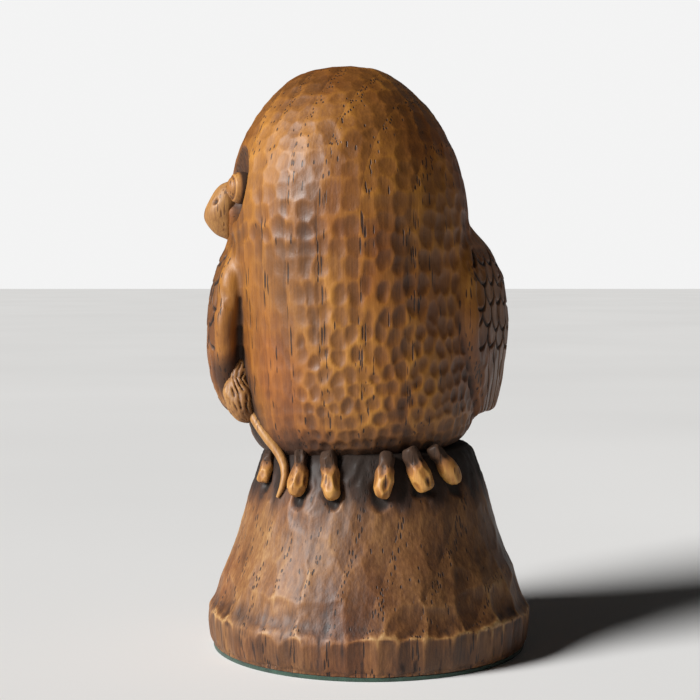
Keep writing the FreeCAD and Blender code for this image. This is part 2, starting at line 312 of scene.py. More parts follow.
def stainedWood(name):
    look = woodLook[name]
    material = bpy.data.materials.new(name)
    material.use_nodes = True
    tree = material.node_tree
    shader = tree.nodes["Principled BSDF"]
    place = addNode(tree, "ShaderNodeTexCoord").outputs["Object"]
    grain = addNode(tree, "ShaderNodeMapping", {
        "Vector": place, "Scale": (1 / mm, 1 / mm, 1 / mm),
        "Location": (-woodGrain["pith"][0], -woodGrain["pith"][1], 0)}).outputs[0]

    def stretched(width, length):
        return addNode(tree, "ShaderNodeMapping", {
            "Vector": grain, "Scale": (1 / width, 1 / width, 1 / length)}).outputs[0]

    def cloud(size, detail, roughness=0.5):
        return addNode(tree, "ShaderNodeTexNoise", {
            "Vector": stretched(*size), "Scale": 1.0, "Detail": detail,
            "Roughness": roughness}).outputs["Fac"]

    def maths(operation, first, second=0.5, third=0.5, clamp=False):
        return addNode(tree, "ShaderNodeMath", {0: first, 1: second, 2: third},
                       operation=operation, use_clamp=clamp).outputs[0]

    mottle = cloud(woodGrain["mottle"], 4.0, 0.6)
    fibres = cloud(woodGrain["fibre"], 3.0, 0.6)
    # each ring starts with a band of open pores and darkens to its end
    rings = addNode(tree, "ShaderNodeTexWave", {
        "Vector": stretched(1.0, 6.0), "Scale": 2 * math.pi / (20 * woodGrain["ringSpacing"]),
        "Distortion": woodGrain["ringWaver"], "Detail": 2.0, "Detail Scale": 0.6},
        wave_type="RINGS", rings_direction="Z", wave_profile="SAW").outputs["Fac"]
    early = addNode(tree, "ShaderNodeValToRGB", {"Fac": rings}, stops=woodGrain["poreBand"]).outputs[0]
    cells = addNode(tree, "ShaderNodeTexVoronoi", {
        "Vector": stretched(*woodGrain["poreSpace"]), "Scale": 1.0, "Randomness": 1.0})
    chance = addNode(tree, "ShaderNodeSeparateColor", {"Color": cells.outputs["Color"]}).outputs[0]
    opened = maths("LESS_THAN", chance, maths("MULTIPLY", early, woodGrain["poreShare"]))
    poreOutside, poreInside = woodGrain["poreEdge"]
    dash = addNode(tree, "ShaderNodeMapRange", {
        "Value": cells.outputs["Distance"], "From Min": poreOutside, "From Max": poreInside}).outputs[0]
    pores = maths("MULTIPLY", opened, dash, clamp=True)

    # painted highlight and painted shade come into the colour through these two attributes, along with rubbed
    # and pooled stain
    wearAndLight = addNode(tree, "ShaderNodeAttribute", attribute_name="wearAndLight").outputs["Fac"]
    stainAndShade = addNode(tree, "ShaderNodeAttribute", attribute_name="stainAndShade").outputs["Fac"]
    tone = maths("MULTIPLY_ADD", maths("SUBTRACT", mottle, 0.5), look["mottle"] * 2, look["middle"])
    tone = maths("MULTIPLY_ADD", maths("SUBTRACT", fibres, 0.5), look["streaks"] * 2, tone)
    tone = maths("MULTIPLY_ADD", rings, -look["rings"], tone)
    tone = maths("MULTIPLY_ADD", wearAndLight, look["wearAndLightShare"], tone)
    tone = maths("MULTIPLY", tone, maths("MULTIPLY_ADD", stainAndShade, -look["stainAndShade"], 1.0, clamp=True))
    tone = maths("MULTIPLY", tone, maths("MULTIPLY_ADD", pores, -look["pores"], 1.0), clamp=True)
    stops = list(zip(woodGrain["shadePlaces"], look["shades"]))
    colour = addNode(tree, "ShaderNodeValToRGB", {"Fac": tone}, stops=stops).outputs["Color"]
    # patches where the stain took redder
    patch = addNode(tree, "ShaderNodeMapRange", {
        "Value": cloud(woodGrain["redPatch"], 3.0), "From Min": woodGrain["redFrom"],
        "From Max": woodGrain["redTo"]}).outputs[0]
    amount = maths("MULTIPLY", patch, look["redder"])
    redder = addNode(tree, "ShaderNodeMix", {
        "Factor": amount, "A": colour, "B": hexColour(woodGrain["redTint"])},
        data_type="RGBA", blend_type="MULTIPLY")
    tree.links.new(next(each for each in redder.outputs if each.enabled), shader.inputs["Base Color"])

    low, high = look["roughness"]
    dull = addNode(tree, "ShaderNodeMapRange", {
        "Value": maths("ADD", mottle, maths("MULTIPLY", stainAndShade, woodGrain["dullerStainAndShade"])),
        "From Min": 0.3, "From Max": 1.3, "To Min": low, "To Max": high + woodGrain["dullest"]})
    tree.links.new(dull.outputs[0], shader.inputs["Roughness"])
    # the gouge's chatter and the fibres stand up a little, the pores lie open
    chatter = cloud(woodGrain["chatter"], 3.0, 0.55)
    raised = maths("MULTIPLY", fibres, woodGrain["fibreRelief"])
    raised = maths("MULTIPLY_ADD", chatter, look["chatter"], raised)
    relief = addNode(tree, "ShaderNodeBump", {
        "Height": maths("SUBTRACT", raised, pores), "Strength": woodGrain["reliefStrength"],
        "Distance": woodGrain["reliefDepth"] * mm})
    tree.links.new(relief.outputs[0], shader.inputs["Normal"])
    for socket, value in woodGrain["varnish"].items():
        shader.inputs[socket].default_value = value
    return material


# Pressed wool felt: dense, dull and dark green, with no weave.
feltLook = {
    "dark": "#16251e", "light": "#2f4a3c", "fibre": 0.35, "patch": 3.0,      # sizes in millimetres
    "roughness": (0.85, 1.0), "reliefStrength": 0.8, "reliefDepth": 0.2, "sheen": 0.3,
}


def woolFelt():
    material = bpy.data.materials.new("woolFelt")
    material.use_nodes = True
    tree = material.node_tree
    shader = tree.nodes["Principled BSDF"]
    place = addNode(tree, "ShaderNodeTexCoord").outputs["Object"]
    fibre = addNode(tree, "ShaderNodeTexNoise", {
        "Vector": place, "Scale": 1 / (feltLook["fibre"] * mm), "Detail": 4.0,
        "Roughness": 0.7}).outputs["Fac"]
    patch = addNode(tree, "ShaderNodeTexNoise", {
        "Vector": place, "Scale": 1 / (feltLook["patch"] * mm), "Detail": 2.0}).outputs["Fac"]
    mixed = addNode(tree, "ShaderNodeMath", {0: fibre, 1: 0.7, 2: patch}, operation="MULTIPLY_ADD").outputs[0]
    colour = addNode(tree, "ShaderNodeValToRGB", {"Fac": mixed},
                     stops=[(0.55, feltLook["dark"]), (1.0, feltLook["light"])])
    tree.links.new(colour.outputs["Color"], shader.inputs["Base Color"])
    relief = addNode(tree, "ShaderNodeBump", {
        "Height": fibre, "Strength": feltLook["reliefStrength"], "Distance": feltLook["reliefDepth"] * mm})
    tree.links.new(relief.outputs[0], shader.inputs["Normal"])
    low, high = feltLook["roughness"]
    dull = addNode(tree, "ShaderNodeMapRange", {"Value": patch, "To Min": low, "To Max": high})
    tree.links.new(dull.outputs[0], shader.inputs["Roughness"])
    shader.inputs["Sheen Weight"].default_value = feltLook["sheen"]
    return material


finishes = {name: stainedWood(name) for name in woodLook}
finishes["woolFelt"] = woolFelt()
print("finishes made")


sharpAngle = 62     # degrees: edges sharper than this stay crisp


def finishPiece(piece, node, finish):
    piece.data.materials.clear()
    piece.data.materials.append(finishes[finish])
    for face in piece.data.polygons:
        face.use_smooth = True
        face.material_index = 0
    piece.data.set_sharp_from_angle(angle=math.radians(sharpAngle))
    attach(piece, "root")
    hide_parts(node)


def nodeBox(node):
    low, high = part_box(node)
    return Vector(low) / mm, Vector(high) / mm


bodyForm = {
    "lean": 4.0,            # degrees towards -X
    "footX": -1.3,
    # share of the way up the leaning axis, share of the largest radius
    "outline": [(-0.02, 0.0), (-0.02, 0.70), (-0.006, 0.80), (0.016, 0.875), (0.06, 0.943), (0.133, 0.978),
                (0.277, 0.994), (0.42, 1.0), (0.543, 1.0), (0.645, 0.987), (0.727, 0.939), (0.799, 0.859),
                (0.861, 0.75), (0.912, 0.619), (0.953, 0.481), (0.984, 0.3), (1.0, 0.0)],
    "voxel": 1.05,          # millimetres, halved once more after smoothing
    # where the shoulders blend into the trunk: their foot, their top, how far out from the middle
    "shoulder": {"foot": (96, 103), "top": (112.5, 110), "out": (20, 24), "middleX": -4},
    "smoothing": {"passes": 26, "plain": 0.06, "most": 0.5},
}
# height, centre X, centre Y, half thickness, half chord
wingForm = {
    "left": {"turn": -20.0, "square": 0.62, "hoops": [
        (111.0, 21.0, 1.0, 1.5, 4.0), (107.0, 23.6, 0.5, 3.6, 9.5), (100.0, 25.6, 0.0, 6.0, 15.8),
        (91.0, 26.9, 0.0, 6.7, 18.2), (82.0, 27.5, 0.3, 6.8, 18.6), (68.0, 27.6, 2.0, 5.6, 14.6),
        (60.0, 28.3, 3.2, 3.2, 10.0)]},
    "right": {"turn": 5.0, "square": 0.78, "hoops": [
        (107.5, -31.2, 0.5, 2.0, 5.0), (104.5, -33.2, 0.5, 3.4, 9.5), (98.0, -35.1, 1.0, 4.8, 14.5),
        (90.0, -36.6, 1.2, 5.0, 16.0), (82.0, -37.4, 1.5, 4.9, 16.5), (74.0, -37.2, 2.2, 4.8, 15.5),
        (67.0, -36.3, 3.0, 4.5, 13.5), (62.0, -34.8, 4.0, 3.6, 9.5), (60.0, -34.0, 4.5, 2.6, 6.5)]},
}
faceForm = {
    "height": 118.2, "sideOffset": 9.8, "surfaceX": -35.3, "splay": 20.0,
    # rise is how far the hollow's middle is above the eye's, wall the share of it where its side starts,
    # reach how far behind the face's surface points still belong to it
    "hollow": {"rise": 1.2, "halfWidth": 8.1, "halfHeight": 9.9, "depth": 5.4, "floorRise": 1.4, "wall": 0.72,
               "reach": 9.0},
    "eyeRadius": 4.1, "eyeSink": 3.2, "hollowLines": 46,
}


def bodyMatrix():
    low, _ = nodeBox("owl_body")
    lean = Matrix.Rotation(-math.radians(bodyForm["lean"]), 4, "Y")
    return Matrix.Translation((bodyForm["footX"], 0, low.z)) @ lean


def bodyOutline(perSpan):
    # (height along the axis, radius) in millimetres
    low, high = nodeBox("owl_body")
    radius = (high.y - low.y) / 2
    length = (high.z - low.z) / math.cos(math.radians(bodyForm["lean"]))
    flat = bodyForm["outline"][:1]
    curve = smoothLine(bodyForm["outline"][1:], perSpan)
    return [(share * length, part * radius) for share, part in flat + curve]


def eyePlace(side):
    # the head's surface at one eye and the way the eye looks; side is 1 at +Y
    angle = math.radians(faceForm["splay"])
    outward = Vector((-math.cos(angle), side * math.sin(angle), 0))
    return Vector((faceForm["surfaceX"], side * faceForm["sideOffset"], faceForm["height"])), outward


def wingHoops(form):
    hoops = []
    for z, cx, cy, thick, chord in smoothLine(form["hoops"], 4):
        hoops.append(Matrix.Translation(Vector((cx, cy, z)) * mm)
                     @ Matrix.Rotation(math.radians(form["turn"]), 4, "Z")
                     @ Matrix.Diagonal((thick * mm, chord * mm, 1, 1)))
    return hoops


def makeBlock():
    egg = turnedShape([(radius * mm, height * mm) for height, radius in bodyOutline(4)], 96)
    lean = bodyMatrix()
    lean.translation *= mm
    egg.transform(lean)
    wings = [hoopedShape(wingHoops(form), 56, form["square"]) for form in wingForm.values()]
    block = makePiece("block", egg, *wings)
    bake(block, "REMESH", mode="VOXEL", voxel_size=bodyForm["voxel"] * mm, adaptivity=0.0)
    return block


def pressHollow(skin, side):
    # a steep-sided oval hollow with a flat floor, for one eye to sit in
    surface, outward = eyePlace(side)
    form = faceForm["hollow"]
    level = np.array(outward.cross(Vector((0, 0, 1))))
    away = skin.points - np.array(surface + Vector((0, 0, form["rise"])))
    share = (away @ level / form["halfWidth"]) ** 2 + (away[:, 2] / form["halfHeight"]) ** 2
    floor = form["floorRise"] * share - form["depth"]
    out = away @ np.array(outward)
    onFace = (share < 1) & (out > floor) & (out > -form["reach"])
    push = np.where(onFace, floor - out, 0) * smooth01(1.0, form["wall"], share)
    skin.points += np.outer(push, np.array(outward))


def smoothBlock(block):
    # blend the shoulders into the trunk, and the wing tips a little, then press the face in
    skin = Skin(block)
    form, smoothing = bodyForm["shoulder"], bodyForm["smoothing"]
    shoulder = smooth01(*form["foot"], skin.points[:, 2]) * smooth01(*form["top"], skin.points[:, 2])
    shoulder *= smooth01(*form["out"], np.abs(skin.points[:, 0] - form["middleX"]))
    share = np.clip(smoothing["plain"] + shoulder, 0, smoothing["most"])
    skin.points = skin.averaged(skin.points, smoothing["passes"], share[:, None])
    for side in (-1, 1):
        pressHollow(skin, side)
    skin.writePoints()
    bake(block, "SUBSURF", levels=1, render_levels=1)


block = makeBlock()
print("block joined", len(block.data.vertices), "points")
smoothBlock(block)
print("block smoothed", len(block.data.vertices), "points")


bodyCuts = {
    # height on the block, cut's width, cut's height, depth in millimetres, cut's size as a share of its space
    "zones": [(52, 3.3, 3.4, 0.42, 1.04), (66, 3.3, 3.8, 0.46, 1.04), (76, 3.3, 5.0, 0.46, 1.08),
              (92, 3.6, 6.4, 0.46, 1.12), (106, 3.9, 5.2, 0.46, 1.16), (120, 4.3, 4.5, 0.48, 1.22),
              (150, 4.3, 4.3, 0.46, 1.22)],
    "rowSpacing": 0.84, "offTrunk": 1.3,
    # how unevenly they are cut: shares of a space, of the height, radians, and shares of size and depth
    "aside": 0.2, "lift": 0.22, "turn": 0.35, "size": (0.84, 1.16), "stretch": (0.92, 1.1),
    "deep": (0.65, 1.25), "waver": 0.75, "seed": 4,
}


def zoneValues(zones, height):
    heights = [zone[0] for zone in zones]
    return [float(np.interp(height, heights, [zone[at] for zone in zones])) for at in range(1, len(zones[0]))]


def bodyScoops():
    # staggered rows round the leaning axis, snapped onto the block
    dice = random.Random(bodyCuts["seed"])
    place = bodyMatrix()
    line = [(height, radius) for height, radius in bodyOutline(12) if height > 0]
    tree = BVHTree.FromObject(block, bpy.context.evaluated_depsgraph_get())
    aside, lift = bodyCuts["aside"], bodyCuts["lift"]
    scoops = []
    travelled, nextRow, row = 0.0, 0.0, 0
    for (z0, r0), (z1, r1) in zip(line, line[1:]):
        travelled += math.hypot(z1 - z0, r1 - r0)
        if travelled < nextRow:
            continue
        width, height, depth, share = zoneValues(bodyCuts["zones"], (place @ Vector((0, 0, z1))).z)
        nextRow = travelled + height * bodyCuts["rowSpacing"]
        row += 1
        around = max(1, round(2 * math.pi * r1 / width))
        for at in range(around):
            angle = 2 * math.pi * (at + 0.5 * (row % 2) + dice.uniform(-aside, aside)) / around
            outward = Vector((math.cos(angle), math.sin(angle), 0))
            guess = place @ (outward * r1 + Vector((0, 0, z1 + dice.uniform(-lift, lift) * height)))
            found, normal, _, gap = tree.find_nearest(guess * mm)
            if found is None or gap > bodyCuts["offTrunk"] * mm:
                continue
            half = share / 2
            scoops.append(layScoop(dice, bodyCuts, found / mm, normal, width * half, height * half, depth,
                                   level=Vector((math.sin(angle), -math.cos(angle), 0))))
    return scoops


creaseForm = {
    # how far the crease between wing and trunk spreads onto each at its foot and top, its depth,
    # and those heights
    "left": (0.9, 0.7, 1.1, 60.0, 104.0),
    "right": (2.5, 1.1, 1.6, 58.0, 98.0),
}


def wingPlace(form, points):
    # across the wing from its middle, half its chord there, and how far outside its section each point is
    hoops = form["hoops"][::-1]
    x, y, z = points.T
    turn = math.radians(form["turn"])
    centreX, centreY, thick, chord = (
        np.interp(z, [hoop[0] for hoop in hoops], [hoop[at] for hoop in hoops]) for at in (1, 2, 3, 4))
    across = -(x - centreX) * math.sin(turn) + (y - centreY) * math.cos(turn)
    out = (x - centreX) * math.cos(turn) + (y - centreY) * math.sin(turn)
    power = 2 / form["square"]
    share = ((np.abs(out) / thick) ** power + (np.abs(across) / chord) ** power) ** (1 / power)
    gap = np.hypot(across, out) * (1 - 1 / np.maximum(share, 0.2))
    return across, chord, gap


def trunkGap(points):
    # how far outside the plain trunk each point is
    place = np.array(bodyMatrix().inverted())
    local = points @ place[:3, :3].T + place[:3, 3]
    heights, radii = zip(*bodyOutline(6)[1:])
    return np.hypot(local[:, 0], local[:, 1]) - np.interp(local[:, 2], heights, radii)


def hollowLines(skin, side):
    # for one eye: how far into the hollow each point is, the fine lines that fan out across the hollow,
    # and the brow round it
    surface, outward = eyePlace(side)
    form = faceForm["hollow"]
    away = skin.points - np.array(surface)
    across = away @ np.array(outward.cross(Vector((0, 0, 1))))
    facing = smooth01(-12, -8, away @ np.array(outward))
    share = (across / form["halfWidth"]) ** 2 + ((away[:, 2] - form["rise"]) / form["halfHeight"]) ** 2
    inside = smooth01(1.0, 0.8, share) * facing
    turn = np.arctan2(across, away[:, 2])
    lines = np.abs((turn * faceForm["hollowLines"] / (2 * np.pi)) % 1.0 - 0.5) * 2
    return inside, smooth01(0.55, 1.0, lines) * inside, smooth01(1.9, 1.2, share) * facing


mouseForm = {
    # lower end, upper end, radius
    "eggs": [((-30.6, -11.8, 58.8), (-34.9, -9.8, 71.2), 4.0),
             ((-34.4, -10.4, 66.0), (-32.4, -8.6, 75.4), 2.9)],
    "furCuts": 15, "furDepth": 0.55,
    "plainX": (-37.5, -34.5), "plainShare": 0.25,      # fewer cuts on the side away from the trunk
}
facetForm = {
    "count": 70, "scoop": (2.1, 3.5, 0.55),     # half width, half height, depth
    "turn": 0.5, "size": (0.6, 1.1), "deep": (0.5, 1.0), "waver": 0.8, "seed": 12,
}


def wingFacets(skin, onWing):
    # larger flat cuts, here and there on the wings
    dice = random.Random(facetForm["seed"])
    spots = np.nonzero(onWing > 0.7)[0]
    facets = []
    for _ in range(facetForm["count"]):
        at = int(dice.choice(spots))
        normal = Vector(skin.normals[at])
        facets.append(layScoop(dice, facetForm, skin.points[at], normal, *facetForm["scoop"]))
    return carveScoops(skin.points, facets, facetForm["waver"]) * onWing


carveForm = {
    "wing": {"gap": (0.3, 1.2), "foot": (57, 59), "top": (109, 103)},
    "plain": {"x": (-15, -19), "top": (108, 100)},      # the band beside the mouse's wing
    "crown": (100, 120),                                # the head, from its foot up
    # how much shallower the gouge cuts are there
    "shallower": {"wing": 0.85, "brow": 0.6, "plain": 0.6, "crown": 0.4},
    "lineDepth": 0.22,
    # lighter on the ridges between cuts, from stain rubbed off and painted highlight; darker on the cuts'
    # floors, from pooled stain and painted shade; painted shade in the eye hollows and their fine lines; the
    # wings painted lighter, which stays on their front bands as a painted highlight
    "ridgeDepth": 0.2, "ridgeLess": {"crownDepth": 0.08, "plain": 0.5, "crown": 0.45},
    "floorDepth": (0.15, 0.42),
    "light": {"all": -0.25, "floor": -0.35, "crown": 0.1, "hollow": -0.9, "lines": -0.3, "wing": 0.75},
    # painted shade: in creases, together with pooled stain, and in the eye hollows, the wings' seams, on the
    # body's foot where it turns under and round the mouse
    "creaseDepth": (0.1, 1.3), "creasePasses": 60, "footShadeHeight": (61, 51), "mouseShadeReach": (4.5, -0.6),
    "paintedShade": {"hollow": 0.35, "seam": 0.5, "foot": 0.75, "mouse": 0.75},
}


def carveBlock(block):
    skin = Skin(block)
    height = skin.points[:, 2]
    scoops = bodyScoops()
    cut = carveScoops(skin.points, scoops, bodyCuts["waver"])
    print("gouge cuts on the block:", len(scoops))
    hollow, lines, brow = (np.maximum(*pair) for pair in zip(hollowLines(skin, -1), hollowLines(skin, 1)))
    offTrunk = trunkGap(skin.points)
    wing = carveForm["wing"]
    onWing = smooth01(*wing["gap"], offTrunk)
    onWing *= smooth01(*wing["foot"], height) * smooth01(*wing["top"], height)
    seam = np.zeros(len(cut))
    for side, (wide, narrow, depth, bottom, top) in creaseForm.items():
        _, _, offWing = wingPlace(wingForm[side], skin.points)
        spread = np.interp(height, (bottom, top), (wide, narrow))
        near = np.exp(-(offTrunk / spread) ** 2 - (offWing / spread) ** 2)
        near *= smooth01(bottom - 3, bottom, height) * smooth01(top, bottom + 8, height) ** 0.5
        seam = np.maximum(seam, near * depth)
    plain = smooth01(*carveForm["plain"]["x"], skin.points[:, 0]) * (skin.points[:, 1] < 0)
    plain *= smooth01(*carveForm["plain"]["top"], height)
    crown = smooth01(*carveForm["crown"], height)
    less = carveForm["shallower"]
    cut *= (1 - hollow) * (1 - less["wing"] * onWing) * (1 - less["brow"] * brow)
    cut *= (1 - less["plain"] * plain) * (1 - less["crown"] * crown)
    cut += wingFacets(skin, onWing)
    skin.press(cut - lines * carveForm["lineDepth"] - seam)
    skin.writePoints()

    less = carveForm["ridgeLess"]
    wearAndLight = np.clip(1 + cut / (carveForm["ridgeDepth"] - less["crownDepth"] * crown), 0, 1)
    wearAndLight *= (1 - onWing) * (1 - less["plain"] * plain) * (1 - less["crown"] * crown)
    light = carveForm["light"]
    # painted highlight on ridges and the wings, painted shade on the cuts' floors, in the eye hollows and
    # their lines
    wearAndLight += light["all"] + light["floor"] * smooth01(*carveForm["floorDepth"], -cut) + light["crown"] * crown
    wearAndLight += light["hollow"] * hollow + light["lines"] * lines + light["wing"] * onWing
    skin = Skin(block)
    foot, head, girth = mouseForm["eggs"][0]
    foot, line = np.array(foot), np.array(head) - np.array(foot)
    along = np.clip((skin.points - foot) @ line / (line @ line), 0, 1)
    offMouse = np.linalg.norm(skin.points - foot - np.outer(along, line), axis=1) - girth
    paintedShade = carveForm["paintedShade"]
    # painted shade in creases, hollows and seams, on the body's foot and round the mouse
    stainAndShade = smooth01(*carveForm["creaseDepth"], skin.dip(carveForm["creasePasses"]))
    stainAndShade += paintedShade["hollow"] * hollow + paintedShade["seam"] * seam ** 1.4
    stainAndShade += paintedShade["foot"] * smooth01(*carveForm["footShadeHeight"], skin.points[:, 2])
    stainAndShade += paintedShade["mouse"] * smooth01(*carveForm["mouseShadeReach"], offMouse)
    skin.writeTones(wearAndLight, np.clip(stainAndShade, 0, 1))


carveBlock(block)

featherCuts = {
    "rows": (103.5, 98.5, 93.0, 87.5, 82.0),    # heights of the scale-like feathers' centres
    "spacing": 6.6, "radius": 3.55, "depth": 0.6, "width": 0.5,
    "aside": 0.5, "lift": 0.7, "size": (0.93, 1.05), "tall": 0.74, "seed": 3,
    "flights": (-9.5, -4.5, 0.5, 5.5, 10.5),    # where the long feathers' edges start across the wing
    "flightTop": 83.0, "flightLength": 25.0, "narrowing": 0.45, "sweep": 2.5,
    "frontBand": {"left": 4.2, "right": 3.0},   # left plain along the wing's front edge
    "bulge": 0.2, "hemDepth": 0.25, "hemWidth": 0.7, "uneven": 0.4,
}
wingSeat = {"left": 22.5, "right": -30.5}       # X of the flat seat behind each wing
cutterReach = 90.0


def cutFeathers(wing, side):
    # V-cuts on the outer face: rows of overlapping rounded feathers above, long flight feathers below
    form = wingForm[side]
    skin = Skin(wing)
    x, _, z = skin.points.T
    across, chord, _ = wingPlace(form, skin.points)
    way = 1 if side == "left" else -1
    turn = math.radians(form["turn"])
    band = featherCuts["frontBand"][side]
    facing = way * (skin.normals[:, 0] * math.cos(turn) + skin.normals[:, 1] * math.sin(turn))
    onWing = smooth01(0.4, 1.4, trunkGap(skin.points))
    outer = smooth01(0.3, 0.65, facing) * smooth01(band - 1.2, band, across + chord) * onWing
    nearest = np.full(len(z), 9.0)
    covered = np.zeros(len(z), dtype=bool)
    bulge = np.zeros(len(z))
    dice = random.Random(featherCuts["seed"])
    aside, lift = featherCuts["aside"], featherCuts["lift"]
    for row, height in enumerate(featherCuts["rows"]):
        reach = np.full(len(z), -9.0)
        for at in range(-5, 6):
            middle = (at + 0.5 * (row % 2)) * featherCuts["spacing"] + dice.uniform(-aside, aside)
            radius = featherCuts["radius"] * dice.uniform(*featherCuts["size"])
            rise = (z - height - dice.uniform(-lift, lift)) * featherCuts["tall"]
            reach = np.maximum(reach, radius - np.hypot(across - middle, rise))
        seen = ~covered
        nearest = np.where(seen, np.minimum(nearest, np.abs(reach)), nearest)
        bulge = np.where(seen & (reach > 0), np.clip(reach / featherCuts["radius"], 0, 1), bulge)
        covered |= reach > 0
    below = ~covered & (z < featherCuts["flightTop"])
    drop = np.clip((featherCuts["flightTop"] - z) / featherCuts["flightLength"], 0, 1.2)
    for start in featherCuts["flights"]:
        edge = start * (1 - featherCuts["narrowing"] * drop) + featherCuts["sweep"] * drop * drop
        nearest = np.where(below, np.minimum(nearest, np.abs(across - edge)), nearest)
    vee = np.clip(1 - nearest / featherCuts["width"], 0, 1) * outer
    hem = np.exp(-((across + chord - band) / featherCuts["hemWidth"]) ** 2)
    hem *= smooth01(0.1, 0.5, facing) * onWing
    uneven = noiseAt(skin.points, (0.22, 0.22, 0.12)) * onWing
    # nothing is cut at the seats, so wing and body still meet there
    low, high = nodeBox(side + "_wing")
    inside = smooth01(0.0, 1.5, z - low.z) * smooth01(0.0, 1.5, high.z - z)
    inside *= smooth01(0.0, 0.8, np.abs(x - wingSeat[side]))
    cut = featherCuts["depth"] * vee + featherCuts["bulge"] * bulge * outer + featherCuts["hemDepth"] * hem
    skin.press((featherCuts["uneven"] * uneven - cut) * inside)
    skin.writePoints()
    # painted shade in the V-cuts and under each overlapping feather; the outer face painted darker, which
    # leaves a painted highlight on the front band
    shaded = vee * 1.1 + 0.25 * outer * (1 - bulge) * covered
    skin.writeTones((-0.75 * outer + 0.3 * uneven) * inside, shaded * inside, add=True)


for side, seatX in wingSeat.items():
    node = side + "_wing"
    low, high = nodeBox(node)
    xLow, xHigh = sorted((seatX, math.copysign(cutterReach, seatX)))
    cutter = boxCutter(Vector((xLow, -cutterReach, low.z)) * mm, Vector((xHigh, cutterReach, high.z)) * mm)
    wing = copyPiece(block, side + "Wing")
    bake(wing, "BOOLEAN", operation="INTERSECT", object=cutter, solver="MANIFOLD")
    bake(block, "BOOLEAN", operation="DIFFERENCE", object=cutter, solver="MANIFOLD")
    bpy.data.objects.remove(cutter)
    bake(wing, "SUBSURF", subdivision_type="SIMPLE", levels=1, render_levels=1)
    cutFeathers(wing, side)
    finishPiece(wing, node, "bodyWood")
    print(node, len(wing.data.polygons), "faces")
block.name = "owlBody"
finishPiece(block, "owl_body", "bodyWood")
print("body", len(block.data.polygons), "faces")


stumpForm = {
    # height in millimetres above the felt's underside, radius
    "outline": [(1.0, 0.0), (1.0, 41.0), (1.6, 41.6), (5.0, 42.1), (9.5, 42.4), (11.0, 42.0), (12.6, 41.0),
                (14.5, 40.4), (20.0, 38.4), (24.0, 36.6), (28.0, 34.9), (33.0, 33.3), (40.0, 31.4),
                (47.0, 29.1), (51.0, 27.4), (52.5, 25.8), (52.5, 0.0)],
    "wallRadius": 42.4,
    "voxel": 1.05,
}


def makeStump():
    line = smoothLine(stumpForm["outline"][1:-1], 4)
    profile = [(0.0, line[0][0])] + [(radius, height) for height, radius in line] + [(0.0, line[-1][0])]
    stump = makePiece("stump", turnedShape([(radius * mm, height * mm) for radius, height in profile], 96))
    bake(stump, "REMESH", mode="VOXEL", voxel_size=stumpForm["voxel"] * mm, adaptivity=0.0)
    skin = Skin(stump)
    skin.points = skin.averaged(skin.points, 4, 0.3)
    skin.writePoints()
    bake(stump, "SUBSURF", levels=1, render_levels=1)
    return stump


stumpCuts = {
    # height, cut's width, cut's height, depth
    "rows": [(15.0, 11.0, 9.0, 1.15), (21.5, 9.5, 14.0, 0.7), (29.0, 7.5, 15.0, 0.5), (36.0, 5.5, 13.0, 0.4),
             (42.5, 3.0, 11.0, 0.4), (48.0, 2.6, 9.0, 0.4)],
    "aside": 0.25, "lift": 1.8, "turn": 0.5, "size": (0.592, 0.888), "deep": (0.75, 1.15), "waver": 1.2,
    "seed": 9,
    "wall": {"height": 4.0, "width": 5.6, "tall": 18.0, "depth": 0.75, "uneven": (0.65, 1.4), "overlap": 0.62,
             "deep": (0.6, 1.2), "top": (12.5, 9.0), "upright": (0.45, 0.2)},
    # the wood is cut away under each toe's tip, and painted shade there is near black
    "socket": {"width": 2.9, "tall": 4.4, "depth": 1.0, "lift": 1.2, "waver": 1.6},
    "rough": 0.12, "roughScale": (0.5, 0.5, 0.22),
    # painted shade at the top under the body, in streaks running down; a painted highlight along the rim, and
    # the left flank, towards the light, painted lighter
    "paintedShade": {"height": (36, 48), "streak": 7, "share": 0.9, "socket": (0.2, 0.7)},
    "rim": {"height": 11.0, "width": 2.2},
    "litFlank": {"x": (-12, -30), "foot": (12, 17), "top": (44, 34), "streak": 5, "share": 0.4},
    "cracks": {"around": 36, "along": 0.14, "edge": (0.38, 0.6), "share": 0.6},
}


toeForm = {
    # share of the length from the bottom, radius
    "outline": [(0.0, 0.0), (0.03, 1.3), (0.12, 2.05), (0.3, 2.4), (0.5, 2.35), (0.68, 2.15), (0.85, 1.95),
                (0.96, 1.4), (1.0, 0.0)],
    # tip, end in the stump, and how stout
    "toes": {
        "right_foot_outer_toe": ((-26.9, -14.8, 43.4), (-24.9, -11.9, 52.4), 0.90),
        "right_foot_middle_toe": ((-18.4, -25.9, 41.6), (-16.6, -21.6, 53.6), 1.05),
        "right_foot_inner_toe": ((-9.2, -30.3, 41.8), (-10.4, -25.4, 53.8), 1.05),
        "left_foot_inner_toe": ((2.8, -31.5, 42.2), (4.2, -27.0, 53.8), 1.10),
        "left_foot_middle_toe": ((14.1, -27.9, 43.4), (9.0, -26.1, 54.6), 1.15),
        "left_foot_outer_toe": ((22.0, -21.7, 44.4), (15.0, -22.9, 54.8), 1.05),
    },
    "facets": 26, "scoop": (1.725, 2.76, 0.6), "size": (0.6, 1.1), "deep": (0.5, 1.1),
    "waist": {"at": 0.66, "width": 0.07, "depth": 0.2},     # the knuckle, a third of the way from the body
    # painted shade over the end that goes in under the body
    "shadedEnd": (0.36, 0.82),
}


